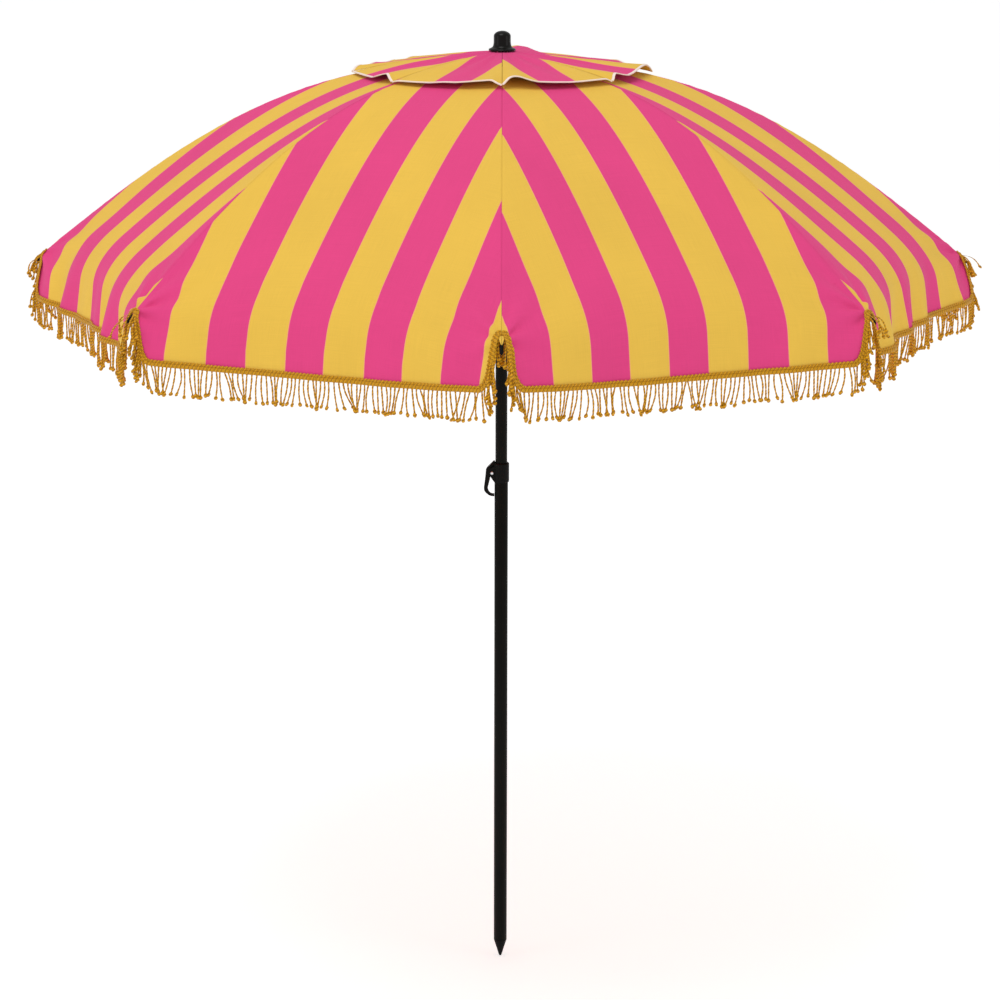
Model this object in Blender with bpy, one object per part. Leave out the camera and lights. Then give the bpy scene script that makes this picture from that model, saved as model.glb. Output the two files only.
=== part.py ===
"""Beach umbrella with eight ribs, a vented striped canopy and a two-piece pole.

Metres, +Z up. The origin is the point of the ground spike, on the pole's axis.
Spoke frames: +X points outward from the pole, +Y runs round it, +Z is up.
"""

import math

import bmesh
import bpy
import numpy as np
from mathutils import Matrix, Vector

# Driving dimensions
SPOKES = 8
STEP = math.tau / SPOKES
FIRST_RIB = -math.pi / 2          # rib 1 points along -Y
HALF_STEP = STEP / 2

LOWER_RADIUS = 0.0160             # lower pole, outside
UPPER_RADIUS = 0.0140             # upper pole, outside
POLE_WALL = 0.0012
SHOULDER = 0.0460                 # height of the spike's cone
COLLAR_TOP = 1.2620
COLLAR_HEIGHT = 0.0460
COLLAR_RADIUS = 0.0187
LOWER_TOP = COLLAR_TOP - 0.0345   # the lower pole ends inside the collar
UPPER_BOTTOM = 0.8120
FINIAL_TOP = 2.2710

CROWN_RADIUS = 0.0345
PIVOT_RADIUS = 0.0280             # rib pivots, from the pole's axis
PIVOT_HEIGHT = 2.2140
PLATE_BOTTOM = 2.2190             # underside of the crown's top plate
CROWN_TOP = 2.2212
CROWN_BOTTOM = 2.1880

RIB_RADIUS = 0.0025
RIB_LENGTH = 1.1600               # along the curve
RIB_DROP = 0.0080                 # rib centre line under the cloth
START_SLOPE = math.radians(6.8)
PEAK_BEND = 0.941                 # curvature where the rib bends most, per metre
PEAK_PLACE = 0.423                # and how far along the rib that is
BEND_END = 1.1900
STRUT_PLACE = 0.4000              # strut joint, along the rib
STRUT_DROP = 0.0080               # strut joint under the rib's centre line

RUNNER_HEIGHT = PIVOT_HEIGHT - 0.3200
RUNNER_PIVOT_RADIUS = 0.0320
FLANGE_RADIUS = 0.0420
BARREL_RADIUS = 0.0185
BARREL_BORE = 0.0144
BARREL_DROP = 0.0850
LATCH_AZIMUTH = FIRST_RIB - 3 * HALF_STEP
LATCH_RADIUS = 0.0245             # latch pivot, from the pole's axis
LATCH_DROP = 0.0400               # latch pivot under the runner's pivots

CLOTH = 0.0016                    # thickness of the plain canopy solids
PANEL_START = 0.1500              # the wind vent's opening, radius
RIM_LENGTH = 1.1650               # cloth corner at the rib's end, along the curve
RIM_BOW = 0.1120                  # how far up the slope the rim curves between ribs
SEAM_GAP = 0.0012
RIM_COLUMNS = 6                   # shared by panel and valance, so their edges match
VENT_START = 0.0165
VENT_RADIUS = 0.3430
VENT_TOP = 2.2255
VENT_HEM = 2.1866
VENT_SWELL = 1.3
VALANCE_DEPTH = 0.1000            # below the rib's end
VALANCE_DIP = 0.0120              # more than that at mid-panel
VALANCE_BOW = 0.025
VALANCE_SPLIT = 0.0065            # half the notch at each rib

PIN_RADIUS = 0.00125
HOLE_RADIUS = 0.00160

BUTTON_HALF = 0.0065              # half the lock button's width
BUTTON_PIVOT = (-0.0217, -0.0235)  # x, and z from the collar's top
CHEEK_INNER = 0.0069
CHEEK_OUTER = 0.0105
RIVET_RADIUS = 0.0024

FABRIC_PINK = (0.80, 0.07, 0.26)
FABRIC_YELLOW = (0.84, 0.57, 0.10)


def clear_scene():
    for obj in list(bpy.data.objects):
        bpy.data.objects.remove(obj)


def material(name, colour, roughness, metallic=0.0):
    made = bpy.data.materials.get(name)
    if made:
        return made
    made = bpy.data.materials.new(name)
    made.use_nodes = True
    shader = made.node_tree.nodes["Principled BSDF"]
    shader.inputs["Base Color"].default_value = (*colour, 1.0)
    shader.inputs["Roughness"].default_value = roughness
    shader.inputs["Metallic"].default_value = metallic
    made.diffuse_color = (*colour, 1.0)
    return made


def black_plastic():
    return material("black_plastic", (0.010, 0.010, 0.011), 0.35)


def painted_steel():
    return material("painted_steel", (0.012, 0.012, 0.013), 0.30, 0.4)


def bright_steel():
    return material("bright_steel", (0.60, 0.60, 0.62), 0.25, 1.0)


def add(name, mesh, finish, origin=(0, 0, 0), turn=0.0):
    """A visible object whose own origin is at origin, turned about +Z."""
    obj = bpy.data.objects.new(name, mesh)
    bpy.context.scene.collection.objects.link(obj)
    obj.location = origin
    obj.rotation_euler.z = turn
    if finish and not mesh.materials:
        mesh.materials.append(finish)
    return obj


def helper(name, mesh, owner):
    """A cutter or an addition for a Boolean, hidden, in its owner's frame."""
    obj = add(name, mesh, None)
    obj.parent = owner
    obj.hide_render = True
    obj.display_type = "WIRE"
    return obj


def boolean(owner, mesh, operation):
    step = owner.modifiers.new(operation.title(), "BOOLEAN")
    step.operation = operation
    step.solver = "EXACT"
    label = f"{owner.name}_{operation.lower()}_{len(owner.modifiers)}"
    step.object = helper(label, mesh, owner)


def cut(owner, mesh):
    boolean(owner, mesh, "DIFFERENCE")


def join(owner, mesh):
    boolean(owner, mesh, "UNION")


def baked(obj):
    """The object's evaluated mesh; the object and its helpers are removed."""
    bpy.context.view_layer.update()
    graph = bpy.context.evaluated_depsgraph_get()
    mesh = bpy.data.meshes.new_from_object(obj.evaluated_get(graph), depsgraph=graph)
    for child in list(obj.children):
        bpy.data.objects.remove(child)
    bpy.data.objects.remove(obj)
    return mesh


def mesh_from(shape, name):
    bmesh.ops.recalc_face_normals(shape, faces=shape.faces)
    mesh = bpy.data.meshes.new(name)
    shape.to_mesh(mesh)
    shape.free()
    return mesh


def smooth(mesh, angle=35.0):
    mesh.shade_smooth()
    mesh.set_sharp_from_angle(angle=math.radians(angle))
    return mesh


def turned(name, profile, segments=24):
    """A closed profile of (radius, height) points spun round +Z."""
    shape = bmesh.new()
    points = [shape.verts.new((r, 0, z)) for r, z in profile]
    edges = [shape.edges.new((a, b)) for a, b in zip(points, points[1:] + points[:1])]
    bmesh.ops.spin(shape, geom=points + edges, cent=(0, 0, 0), axis=(0, 0, 1),
                   angle=math.tau, steps=segments, use_duplicate=False, use_merge=True)
    bmesh.ops.remove_doubles(shape, verts=shape.verts, dist=1e-6)
    return smooth(mesh_from(shape, name))


def tube(name, outer, inner, low, high, segments=24):
    return turned(name, [(outer, low), (outer, high), (inner, high), (inner, low)], segments)


def rod_into(shape, radius, length, place, segments=12):
    """Adds a cylinder along Y, centred at place."""
    matrix = Matrix.Translation(place) @ Matrix.Rotation(math.pi / 2, 4, "X")
    bmesh.ops.create_cone(shape, cap_ends=True, segments=segments, radius1=radius,
                          radius2=radius, depth=length, matrix=matrix)


def box_into(shape, low, high):
    low, high = Vector(low), Vector(high)
    matrix = Matrix.Translation((low + high) / 2) @ Matrix.Diagonal((*(high - low), 1))
    bmesh.ops.create_cube(shape, size=1.0, matrix=matrix)


def cross_rod(name, radius, length, place, segments=12):
    shape = bmesh.new()
    rod_into(shape, radius, length, place, segments)
    return mesh_from(shape, name)


def block(name, low, high):
    shape = bmesh.new()
    box_into(shape, low, high)
    return mesh_from(shape, name)


def extruded(name, outline, half_width):
    """An outline of (x, z) points, extruded along Y to both sides."""
    shape = bmesh.new()
    face = shape.faces.new([shape.verts.new((x, -half_width, z)) for x, z in outline])
    grown = bmesh.ops.extrude_face_region(shape, geom=[face])["geom"]
    moved = [item for item in grown if isinstance(item, bmesh.types.BMVert)]
    bmesh.ops.translate(shape, verts=moved, vec=(0, 2 * half_width, 0))
    return mesh_from(shape, name)


def around(build):
    """One mesh holding build's shape once for each spoke."""
    shape = bmesh.new()
    for spoke in range(SPOKES):
        known = set(shape.verts)
        build(shape)
        new = [v for v in shape.verts if v not in known]
        turn = Matrix.Rotation(FIRST_RIB + spoke * STEP, 3, "Z")
        bmesh.ops.rotate(shape, verts=new, cent=(0, 0, 0), matrix=turn)
    return mesh_from(shape, build.__name__)


def spoke_place(radius, height, azimuth):
    return (radius * math.cos(azimuth), radius * math.sin(azimuth), height)


def slope(along):
    """Downward angle of the rib: bending grows to its peak, then dies away to the tip."""
    rise = START_SLOPE + PEAK_BEND * np.minimum(along, PEAK_PLACE) ** 2 / (2 * PEAK_PLACE)
    rest = BEND_END - PEAK_PLACE
    past = np.maximum(along, PEAK_PLACE)
    return rise + PEAK_BEND * (rest ** 2 - (BEND_END - past) ** 2) / (2 * rest)


def meridian(along):
    """(outward, up) from the rib's pivot, after this length along the curve."""
    steps = np.linspace(0, along, 400)
    turn = slope(steps)
    return np.trapz(np.cos(turn), steps), -np.trapz(np.sin(turn), steps)


def cloth_line(along):
    """(radius, height) of the cloth over a rib."""
    out, up = meridian(along)
    return PIVOT_RADIUS + out, PIVOT_HEIGHT + RIB_DROP + up


def along_for_radius(radius):
    low, high = 0.0, BEND_END
    for _ in range(40):
        middle = (low + high) / 2
        if cloth_line(middle)[0] < radius:
            low = middle
        else:
            high = middle
    return low


def make_lower_pole():
    mesh = tube("lower_pole", LOWER_RADIUS, LOWER_RADIUS - POLE_WALL,
                SHOULDER + 0.0003, LOWER_TOP)
    add("lower_pole", mesh, painted_steel())


def make_ground_spike():
    inside = LOWER_RADIUS - POLE_WALL - 0.0003
    profile = [(0, 0.0), (0.0022, 0.0008), (0.0034, 0.0032), (LOWER_RADIUS, SHOULDER),
               (inside, SHOULDER), (inside, 0.1000), (0, 0.1000)]
    add("ground_spike", turned("ground_spike", profile), black_plastic())


def make_upper_pole():
    mesh = tube("upper_pole", UPPER_RADIUS, UPPER_RADIUS - POLE_WALL,
                UPPER_BOTTOM, PLATE_BOTTOM - 0.0010)
    add("upper_pole", mesh, painted_steel())


def make_pole_bush():
    guide = LOWER_RADIUS - POLE_WALL - 0.0003
    spigot = UPPER_RADIUS - POLE_WALL - 0.0003
    low = UPPER_BOTTOM - 0.0200
    step = UPPER_BOTTOM - 0.0003
    profile = [(0, low), (guide, low), (guide, step), (spigot, step),
               (spigot, UPPER_BOTTOM + 0.0250), (0, UPPER_BOTTOM + 0.0250)]
    mesh = turned("pole_bush", profile)
    add("pole_bush", mesh, material("grey_nylon", (0.30, 0.30, 0.31), 0.5))


def boss_outline():
    """The lever housing's outline; z is from the collar's top."""
    return [(-0.0120, -0.0040), (-0.0275, -0.0130), (-0.0285, -0.0220), (-0.0265, -0.0310),
            (-0.0215, -0.0385), (-0.0165, -0.0455), (-0.0120, -0.0455)]


def make_lock_collar():
    chamfer = 0.0015
    profile = [(0.0100, -COLLAR_HEIGHT), (COLLAR_RADIUS - 0.0008, -COLLAR_HEIGHT),
               (COLLAR_RADIUS, -COLLAR_HEIGHT + chamfer), (COLLAR_RADIUS, -chamfer),
               (COLLAR_RADIUS - chamfer, 0.0), (0.0100, 0.0)]
    collar = add("lock_collar", turned("lock_collar", profile), black_plastic(),
                 (0, 0, COLLAR_TOP))
    pivot_x, pivot_z = BUTTON_PIVOT
    lower_bore = LOWER_RADIUS + 0.0003
    upper_bore = UPPER_RADIUS + 0.0003
    join(collar, extruded("boss", boss_outline(), CHEEK_OUTER))
    cut(collar, turned("lower_bore", [(0, -0.0600), (lower_bore, -0.0600),
                                      (lower_bore, -0.0340), (0, -0.0340)]))
    cut(collar, turned("upper_bore", [(0, -0.0400), (upper_bore, -0.0400),
                                      (upper_bore, 0.0100), (0, 0.0100)]))
    cut(collar, block("pocket", (-0.0400, -CHEEK_INNER, -0.0320), (-0.0120, CHEEK_INNER, 0.0100)))
    cut(collar, block("arm_way", (-0.0400, -CHEEK_INNER, -0.0600), (-0.0205, CHEEK_INNER, -0.0300)))
    cut(collar, cross_rod("rivet_hole", RIVET_RADIUS + 0.0003, 0.0300, (pivot_x, 0, pivot_z)))


def button_outline():
    """Nose, ridged thumb slope, knuckle and stiff arm of the lock button."""
    return [(-0.0147, 0.0020), (-0.0156, 0.0045), (-0.0180, 0.0035), (-0.0263, -0.0070),
            (-0.0345, -0.0140), (-0.0364, -0.0170), (-0.0368, -0.0230), (-0.0390, -0.0450),
            (-0.0410, -0.0598), (-0.0317, -0.0598), (-0.0294, -0.0495), (-0.0268, -0.0385),
            (-0.0262, -0.0330), (-0.0240, -0.0310), (-0.0180, -0.0300), (-0.0180, -0.0100),
            (-0.0147, -0.0060)]


def tail_outline():
    """The springy tail, from the arm's end round to the pole."""
    return [(-0.0410, -0.0601), (-0.0407, -0.0650), (-0.0379, -0.0708), (-0.0309, -0.0771),
            (-0.0248, -0.0802), (-0.0165, -0.0810), (-0.0165, -0.0752), (-0.0255, -0.0740),
            (-0.0302, -0.0676), (-0.0316, -0.0625), (-0.0317, -0.0601)]


def make_lock_button():
    pivot_x, pivot_z = BUTTON_PIVOT
    at_pivot = [(x - pivot_x, z - pivot_z) for x, z in button_outline()]
    button = add("lock_button", extruded("lock_button", at_pivot, BUTTON_HALF),
                 black_plastic(), (pivot_x, 0, COLLAR_TOP + pivot_z))
    cut(button, cross_rod("button_hole", RIVET_RADIUS + 0.0003, 0.0200, (0, 0, 0)))
    tail = extruded("lock_button_tail", tail_outline(), BUTTON_HALF)
    add("lock_button_tail", tail, black_plastic(), (0, 0, COLLAR_TOP))


def make_lock_button_rivet():
    pivot_x, pivot_z = BUTTON_PIVOT
    inner, outer, head = CHEEK_OUTER + 0.0003, CHEEK_OUTER + 0.0018, 0.0038
    profile = [(0, -outer), (head * 0.7, -outer), (head, -inner - 0.0004), (head, -inner),
               (RIVET_RADIUS, -inner), (RIVET_RADIUS, inner), (head, inner),
               (head, inner + 0.0004), (head * 0.7, outer), (0, outer)]
    rivet = add("lock_button_rivet", turned("lock_button_rivet", profile, 12), bright_steel(),
                (pivot_x, 0, COLLAR_TOP + pivot_z))
    rivet.rotation_euler.x = math.pi / 2


def crown_slot(shape):
    box_into(shape, (0.0205, -0.0029, CROWN_BOTTOM - 0.01), (0.0500, 0.0029, PLATE_BOTTOM))


def crown_pin(shape):
    rod_into(shape, PIN_RADIUS, 0.0088, (PIVOT_RADIUS, 0, PIVOT_HEIGHT), 8)


def make_crown():
    profile = [(0.0056, CROWN_TOP), (0.0056, PLATE_BOTTOM), (UPPER_RADIUS + 0.0003, PLATE_BOTTOM),
               (UPPER_RADIUS + 0.0003, CROWN_BOTTOM), (CROWN_RADIUS - 0.0080, CROWN_BOTTOM),
               (CROWN_RADIUS, CROWN_BOTTOM + 0.0080), (CROWN_RADIUS, CROWN_TOP - 0.0010),
               (CROWN_RADIUS - 0.0010, CROWN_TOP)]
    crown = add("crown", turned("crown", profile, 32), black_plastic())
    cut(crown, around(crown_slot))
    join(crown, around(crown_pin))


def make_finial():
    skirt, body = 0.0310, 0.0195
    low = VENT_TOP + CLOTH / 2 + 0.0005
    dome = [(body * math.cos(a), FINIAL_TOP - 0.011 + 0.011 * math.sin(a))
            for a in np.linspace(0.15, math.pi / 2, 5)]
    profile = [(0.0050, low - 0.0350), (0.0050, low), (skirt, low), (skirt, low + 0.0025),
               (skirt - 0.0020, low + 0.0045), (body + 0.0035, low + 0.0070),
               (body + 0.0008, low + 0.0115), (body, low + 0.0160)]
    profile += dome[:-1] + [(0, FINIAL_TOP), (0, low - 0.0350)]
    add("finial", turned("finial", profile), material("gloss_plastic", (0.009, 0.009, 0.010), 0.15))


def rib_rod():
    """The curved rod as a bevelled curve, turned into a mesh."""
    curve = bpy.data.curves.new("rib_rod", "CURVE")
    curve.dimensions = "3D"
    curve.bevel_depth = RIB_RADIUS
    curve.bevel_resolution = 2
    curve.use_fill_caps = True
    spline = curve.splines.new("POLY")
    stations = np.linspace(0.0030, RIB_LENGTH, 14)
    spline.points.add(len(stations) - 1)
    for point, along in zip(spline.points, stations):
        out, up = meridian(along)
        point.co = (out, 0, up, 1)
    return baked(add("rib_rod", curve, None))


def strut_joint():
    """(outward, up) of the strut's joint from the rib's pivot."""
    out, up = meridian(STRUT_PLACE)
    return out, up - STRUT_DROP


def make_ribs():
    out, up = strut_joint()
    lean = float(slope(STRUT_PLACE))
    rib = add("rib", rib_rod(), None)
    join(rib, cross_rod("eye", 0.0045, 0.0050, (0, 0, 0), 16))
    lug = bmesh.new()
    box_into(lug, (-0.0035, -0.0015, 0.0), (0.0035, 0.0015, STRUT_DROP))
    bmesh.ops.rotate(lug, verts=lug.verts, matrix=Matrix.Rotation(lean / 2, 3, "Y"))
    bmesh.ops.translate(lug, verts=lug.verts, vec=(out, 0, up))
    join(rib, mesh_from(lug, "lug"))
    join(rib, cross_rod("lug_end", 0.0036, 0.0030, (out, 0, up), 16))
    join(rib, cross_rod("pin", PIN_RADIUS, 0.0092, (out, 0, up), 12))
    cut(rib, cross_rod("hole", HOLE_RADIUS, 0.0100, (0, 0, 0), 12))
    mesh = smooth(baked(rib))
    mesh.materials.clear()
    for spoke in range(SPOKES):
        azimuth = FIRST_RIB + spoke * STEP
        add(f"rib_{spoke + 1}", mesh, painted_steel(),
            spoke_place(PIVOT_RADIUS, PIVOT_HEIGHT, azimuth), azimuth)


def make_rib_tips():
    """Blind caps over the ribs' ends, turned in line with the rib."""
    bore, outer = RIB_RADIUS + 0.0003, 0.0042
    profile = [(bore, -0.0120), (outer - 0.0004, -0.0120), (outer, -0.0110), (outer, 0.0080),
               (outer * 0.8, 0.0125), (outer * 0.4, 0.0150), (0, 0.0155), (0, 0.0005),
               (bore, 0.0005)]
    mesh = turned("rib_tip", profile, 10)
    out, up = meridian(RIB_LENGTH)
    down = float(slope(RIB_LENGTH))
    mesh.transform(Matrix.Translation((out, 0, up)) @ Matrix.Rotation(math.pi / 2 + down, 4, "Y"))
    for spoke in range(SPOKES):
        azimuth = FIRST_RIB + spoke * STEP
        add(f"rib_tip_{spoke + 1}", mesh, black_plastic(),
            spoke_place(PIVOT_RADIUS, PIVOT_HEIGHT, azimuth), azimuth)


def make_struts():
    """Forked struts; each is modelled along +X from its joint, then swung down to the runner."""
    out, up = strut_joint()
    reach = PIVOT_RADIUS + out - RUNNER_PIVOT_RADIUS
    fall = PIVOT_HEIGHT + up - RUNNER_HEIGHT
    length = math.hypot(reach, fall)
    swing = math.atan2(fall, -reach)
    strut = add("strut", cross_rod("fork", 0.0040, 0.0068, (0, 0, 0), 10), None)
    join(strut, block("fork_body", (0.0, -0.0034, -0.0030), (0.0120, 0.0034, 0.0030)))
    shaft = bmesh.new()
    matrix = Matrix.Translation(((length + 0.0100) / 2, 0, 0)) @ Matrix.Rotation(math.pi / 2, 4, "Y")
    bmesh.ops.create_cone(shaft, cap_ends=True, segments=6, radius1=0.0023, radius2=0.0023,
                          depth=length - 0.0130, matrix=matrix)
    join(strut, mesh_from(shaft, "shaft"))
    join(strut, cross_rod("foot", 0.0040, 0.0046, (length, 0, 0), 10))
    cut(strut, block("fork_gap", (-0.0100, -0.0018, -0.0060), (0.0085, 0.0018, 0.0060)))
    cut(strut, cross_rod("fork_hole", HOLE_RADIUS, 0.0200, (0, 0, 0), 8))
    cut(strut, cross_rod("foot_hole", HOLE_RADIUS, 0.0200, (length, 0, 0), 8))
    mesh = baked(strut)
    mesh.transform(Matrix.Rotation(swing, 4, "Y"))
    smooth(mesh)
    mesh.materials.clear()
    for spoke in range(SPOKES):
        azimuth = FIRST_RIB + spoke * STEP
        add(f"strut_{spoke + 1}", mesh, painted_steel(),
            spoke_place(PIVOT_RADIUS + out, PIVOT_HEIGHT + up, azimuth), azimuth)


def runner_slot(shape):
    box_into(shape, (0.0245, -0.0027, -0.0300), (0.0600, 0.0027, 0.0300))


def turned_to_latch(mesh):
    mesh.transform(Matrix.Rotation(LATCH_AZIMUTH, 4, "Z"))
    return mesh


def make_runner():
    """The slider: slotted flange above, barrel and finger grip below."""
    grip = 0.0225
    profile = [(BARREL_BORE, -BARREL_DROP), (grip - 0.0010, -BARREL_DROP),
               (grip, -BARREL_DROP + 0.0010), (grip, -BARREL_DROP + 0.0080),
               (BARREL_RADIUS, -BARREL_DROP + 0.0120), (BARREL_RADIUS, -0.0110),
               (0.0240, -0.0070), (FLANGE_RADIUS - 0.0010, -0.0070), (FLANGE_RADIUS, -0.0060),
               (FLANGE_RADIUS, 0.0060), (FLANGE_RADIUS - 0.0010, 0.0070), (0.0210, 0.0070),
               (BARREL_RADIUS, 0.0120), (BARREL_BORE, 0.0120)]
    runner = add("runner", turned("runner", profile, 32), black_plastic(), (0, 0, RUNNER_HEIGHT))
    cut(runner, around(runner_slot))
    cheeks = bmesh.new()
    for side in (-1, 1):
        near, far = sorted((side * 0.0044, side * 0.0070))
        box_into(cheeks, (0.0165, near, -LATCH_DROP - 0.0050), (0.0285, far, -LATCH_DROP + 0.0050))
    join(runner, turned_to_latch(mesh_from(cheeks, "cheeks")))
    cut(runner, turned_to_latch(block("window", (0.0120, -0.0044, -LATCH_DROP - 0.0215),
                                      (0.0300, 0.0044, -LATCH_DROP - 0.0085))))
    cut(runner, turned_to_latch(cross_rod("latch_holes", 0.0018, 0.0300,
                                          (LATCH_RADIUS, 0, -LATCH_DROP), 8)))


def make_runner_latch():
    """Thumb pad above the pivot, nose below it."""
    outline = [(0.0275, -0.0190), (0.0275, 0.0040), (0.0310, 0.0100), (0.0310, 0.0260),
               (0.0270, 0.0260), (0.0260, 0.0100), (0.0205, 0.0050), (0.0205, -0.0100),
               (0.0146, -0.0120), (0.0146, -0.0180), (0.0205, -0.0190)]
    at_pivot = [(x - LATCH_RADIUS, z) for x, z in outline]
    place = spoke_place(LATCH_RADIUS, RUNNER_HEIGHT - LATCH_DROP, LATCH_AZIMUTH)
    latch = add("runner_latch", extruded("runner_latch", at_pivot, 0.0040), black_plastic(),
                place, LATCH_AZIMUTH)
    join(latch, cross_rod("stub_axles", 0.0015, 0.0132, (0, 0, 0), 8))


def cloth_sheet(name, rows, columns, surface):
    """A grid over (across -1..1, down 0..1), shaped by surface and thickened evenly."""
    shape = bmesh.new()
    bmesh.ops.create_grid(shape, x_segments=columns, y_segments=rows, size=1.0)
    for vert in shape.verts:
        vert.co = surface(vert.co.x, (vert.co.y + 1) / 2)
    bmesh.ops.recalc_face_normals(shape, faces=shape.faces)
    mesh = bpy.data.meshes.new(name)
    shape.to_mesh(mesh)
    shape.free()
    mesh.shade_smooth()
    return mesh


def thicken(obj):
    layer = obj.modifiers.new("Thickness", "SOLIDIFY")
    layer.thickness = CLOTH
    layer.offset = 0.0
    layer.use_even_offset = True


def across_panel(radius, height, across, inset):
    """A point on the straight line between two ribs, in the panel's spoke frame."""
    return Vector((radius * math.cos(HALF_STEP),
                   across * (radius * math.sin(HALF_STEP) - inset), height))


def rim_point(across, inset):
    radius, height = cloth_line(RIM_LENGTH - RIM_BOW * (1 - across ** 2))
    return across_panel(radius, height, across, inset)


def make_canopy_panels():
    start = along_for_radius(PANEL_START)

    def surface(across, down):
        end = RIM_LENGTH - RIM_BOW * (1 - across ** 2)
        radius, height = cloth_line(start + (end - start) * down)
        point = across_panel(radius, height, across, SEAM_GAP)
        return point - Vector((PIVOT_RADIUS, 0, PIVOT_HEIGHT))

    mesh = cloth_sheet("canopy_panel", 7, RIM_COLUMNS, surface)
    spread(mesh, "canopy_panel", PIVOT_RADIUS, PIVOT_HEIGHT, FABRIC_PINK)


def make_vent_panels():
    def surface(across, down):
        radius = VENT_START + (VENT_RADIUS - VENT_START) * down
        height = VENT_TOP + (VENT_HEM - VENT_TOP) * down ** VENT_SWELL
        point = across_panel(radius, height, across, SEAM_GAP)
        return point - Vector((PIVOT_RADIUS, 0, PIVOT_HEIGHT))

    mesh = cloth_sheet("vent_panel", 4, 2, surface)
    spread(mesh, "vent_panel", PIVOT_RADIUS, PIVOT_HEIGHT, FABRIC_YELLOW)


def make_valances():
    hinge = rim_point(0.0, VALANCE_SPLIT)
    rim_radius, rim_height = cloth_line(RIM_LENGTH)
    rim_out = rim_radius * math.cos(HALF_STEP)

    def surface(across, down):
        top = rim_point(across, VALANCE_SPLIT)
        top.z -= 0.0026
        middle = 1 - across ** 2
        hem = Vector((rim_out - VALANCE_BOW * middle, top.y,
                      rim_height - VALANCE_DEPTH - VALANCE_DIP * middle))
        return top.lerp(hem, down) - Vector((hinge.x, 0, hinge.z))

    mesh = cloth_sheet("valance", 2, RIM_COLUMNS, surface)
    spread(mesh, "valance", hinge.x, hinge.z, FABRIC_PINK)


def spread(mesh, name, radius, height, colour):
    """Eight copies of a cloth mesh, one between each pair of ribs."""
    for spoke in range(SPOKES):
        azimuth = FIRST_RIB + HALF_STEP + spoke * STEP
        obj = add(f"{name}_{spoke + 1}", mesh, material(f"{name}_cloth", colour, 0.85),
                  spoke_place(radius, height, azimuth), azimuth)
        thicken(obj)


def main():
    clear_scene()
    make_lower_pole()
    make_ground_spike()
    make_upper_pole()
    make_pole_bush()
    make_lock_collar()
    make_lock_button()
    make_lock_button_rivet()
    make_crown()
    make_finial()
    make_ribs()
    make_rib_tips()
    make_struts()
    make_runner()
    make_runner_latch()
    make_canopy_panels()
    make_vent_panels()
    make_valances()


main()
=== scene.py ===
# %% [markdown]
# # A beach umbrella with a fringed canopy
#
# The solids of the umbrella come in as a fixed frame: poles, ribs, struts, runner, and plain sheets where
# the cloth goes. This file dresses that frame. It makes the striped cloth, the vent cap, the braid and
# fringe, the smooth poles and the push-button lever, and gives every part its finish. All sizes are in
# metres. The pole stands on the Z axis with its point at 0, and a rib points along -Y, towards the viewer.

# %% The frame
import math
import random

import bpy
import numpy as np
from mathutils import Matrix, Vector


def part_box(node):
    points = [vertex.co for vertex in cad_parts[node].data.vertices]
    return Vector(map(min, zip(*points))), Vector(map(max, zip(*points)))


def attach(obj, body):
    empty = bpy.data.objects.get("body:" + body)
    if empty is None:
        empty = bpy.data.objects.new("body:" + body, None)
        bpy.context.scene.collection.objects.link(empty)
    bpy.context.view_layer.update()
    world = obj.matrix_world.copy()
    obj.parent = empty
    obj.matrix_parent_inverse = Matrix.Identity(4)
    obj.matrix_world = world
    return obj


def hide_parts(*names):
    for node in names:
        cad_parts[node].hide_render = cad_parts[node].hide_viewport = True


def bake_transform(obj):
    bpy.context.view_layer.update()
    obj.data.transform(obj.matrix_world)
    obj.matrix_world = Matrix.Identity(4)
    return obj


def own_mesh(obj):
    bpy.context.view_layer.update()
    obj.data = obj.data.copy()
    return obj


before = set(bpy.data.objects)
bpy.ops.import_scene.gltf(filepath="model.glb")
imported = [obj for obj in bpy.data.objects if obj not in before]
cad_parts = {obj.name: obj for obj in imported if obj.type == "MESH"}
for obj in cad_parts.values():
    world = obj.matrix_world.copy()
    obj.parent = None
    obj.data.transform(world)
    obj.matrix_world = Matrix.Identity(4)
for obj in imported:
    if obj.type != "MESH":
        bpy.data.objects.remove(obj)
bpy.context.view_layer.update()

# %% [markdown]
# ## Sizes shared by the pieces
#
# The rib is a curve that starts almost level at the crown and bends down to the tip. The cloth lies 8 mm
# above it. Every piece of cloth is measured from that curve, so the cloth, its seams and its trim stay
# together.

# %% Sizes
SPOKES = 8
STEP = math.tau / SPOKES
HALF = STEP / 2
FIRST_RIB = -math.pi / 2
PIVOT_RADIUS, PIVOT_HEIGHT = 0.028, 2.214
CLOTH_LIFT = 0.008
START_SLOPE = math.radians(6.8)
PEAK_BEND, PEAK_PLACE, BEND_END = 0.941, 0.423, 1.19
RIM_LENGTH, RIM_BOW = 1.165, 0.062
OPENING_RADIUS = 0.150
CLOTH = 0.0008
SEAM_GAP = 0.0006
STRIPE = 0.0872
COLLAR_TOP = 1.262
LOWER_RADIUS, UPPER_RADIUS = 0.016, 0.014

# %% The rib's curve
def slope(along):
    """Downward angle of the rib at a length along it."""
    rise = START_SLOPE + PEAK_BEND * np.minimum(along, PEAK_PLACE) ** 2 / (2 * PEAK_PLACE)
    rest = BEND_END - PEAK_PLACE
    past = np.maximum(along, PEAK_PLACE)
    return rise + PEAK_BEND * (rest ** 2 - (BEND_END - past) ** 2) / (2 * rest)


STATION_GAP = 0.001
STATIONS = np.linspace(0, 1.2, 1201)
TURN = slope(STATIONS)


def summed(rates):
    """The running total of rates along the stations."""
    return np.concatenate([[0], np.cumsum((rates[1:] + rates[:-1]) / 2)]) * STATION_GAP


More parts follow.
